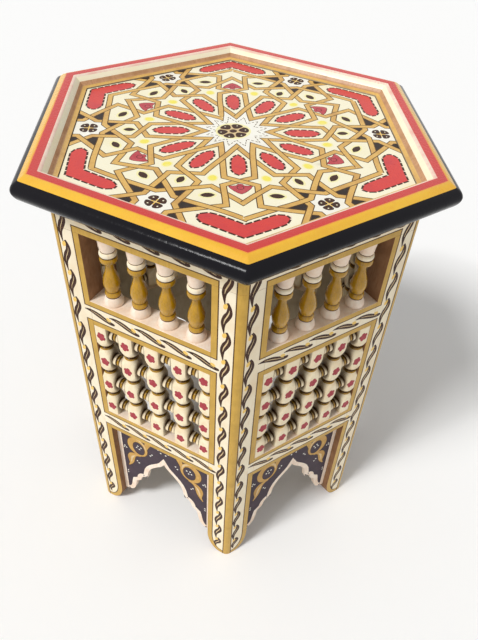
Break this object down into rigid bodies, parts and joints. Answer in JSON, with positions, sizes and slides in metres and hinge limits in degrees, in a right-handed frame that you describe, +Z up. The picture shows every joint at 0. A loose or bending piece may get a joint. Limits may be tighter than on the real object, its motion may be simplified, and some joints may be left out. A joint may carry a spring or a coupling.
{
  "type": "side table",
  "caption": "Hexagonal painted side table with a sunk tray top, turned balusters, lattice panels and scalloped aprons between corner posts.",
  "frame": {"origin": "on the floor under the middle of the table", "axes": "+Z up through the middle of the tray; a corner post points along -Y, and flat sides face -X and +X"},
  "size_m": [0.374, 0.4318, 0.5],
  "materials": {
    "cream_frame": "satin paint with hand-painted scrolls and gold borders",
    "pink_baluster": "satin paint with gold rings",
    "ivory_lattice": "satin paint with small red flowers",
    "plum_apron": "satin paint with gold swirls and white dots",
    "gold_rim": "gloss paint in bands of black, yellow, red and cream",
    "cream_board": "gloss paint with a star pattern"
  },
  "bodies": {
    "root": {"post_1": "cream_frame", "mid_rail_1": "cream_frame", "low_rail_1": "cream_frame", "apron_1": "plum_apron", "lattice_1": "ivory_lattice", "baluster_1_1": "pink_baluster", "baluster_1_2": "pink_baluster", "baluster_1_3": "pink_baluster", "baluster_1_4": "pink_baluster", "post_2": "cream_frame", "mid_rail_2": "cream_frame", "low_rail_2": "cream_frame", "apron_2": "plum_apron", "lattice_2": "ivory_lattice", "baluster_2_1": "pink_baluster", "baluster_2_2": "pink_baluster", "baluster_2_3": "pink_baluster", "baluster_2_4": "pink_baluster", "post_3": "cream_frame", "mid_rail_3": "cream_frame", "low_rail_3": "cream_frame", "apron_3": "plum_apron", "lattice_3": "ivory_lattice", "baluster_3_1": "pink_baluster", "baluster_3_2": "pink_baluster", "baluster_3_3": "pink_baluster", "baluster_3_4": "pink_baluster", "post_4": "cream_frame", "mid_rail_4": "cream_frame", "low_rail_4": "cream_frame", "apron_4": "plum_apron", "lattice_4": "ivory_lattice", "baluster_4_1": "pink_baluster", "baluster_4_2": "pink_baluster", "baluster_4_3": "pink_baluster", "baluster_4_4": "pink_baluster", "post_5": "cream_frame", "mid_rail_5": "cream_frame", "low_rail_5": "cream_frame", "apron_5": "plum_apron", "lattice_5": "ivory_lattice", "baluster_5_1": "pink_baluster", "baluster_5_2": "pink_baluster", "baluster_5_3": "pink_baluster", "baluster_5_4": "pink_baluster", "post_6": "cream_frame", "mid_rail_6": "cream_frame", "low_rail_6": "cream_frame", "apron_6": "plum_apron", "lattice_6": "ivory_lattice", "baluster_6_1": "pink_baluster", "baluster_6_2": "pink_baluster", "baluster_6_3": "pink_baluster", "baluster_6_4": "pink_baluster", "top_frame": "cream_frame", "tray_board": "cream_board", "tray_rim": "gold_rim"}
  },
  "joints": []
}
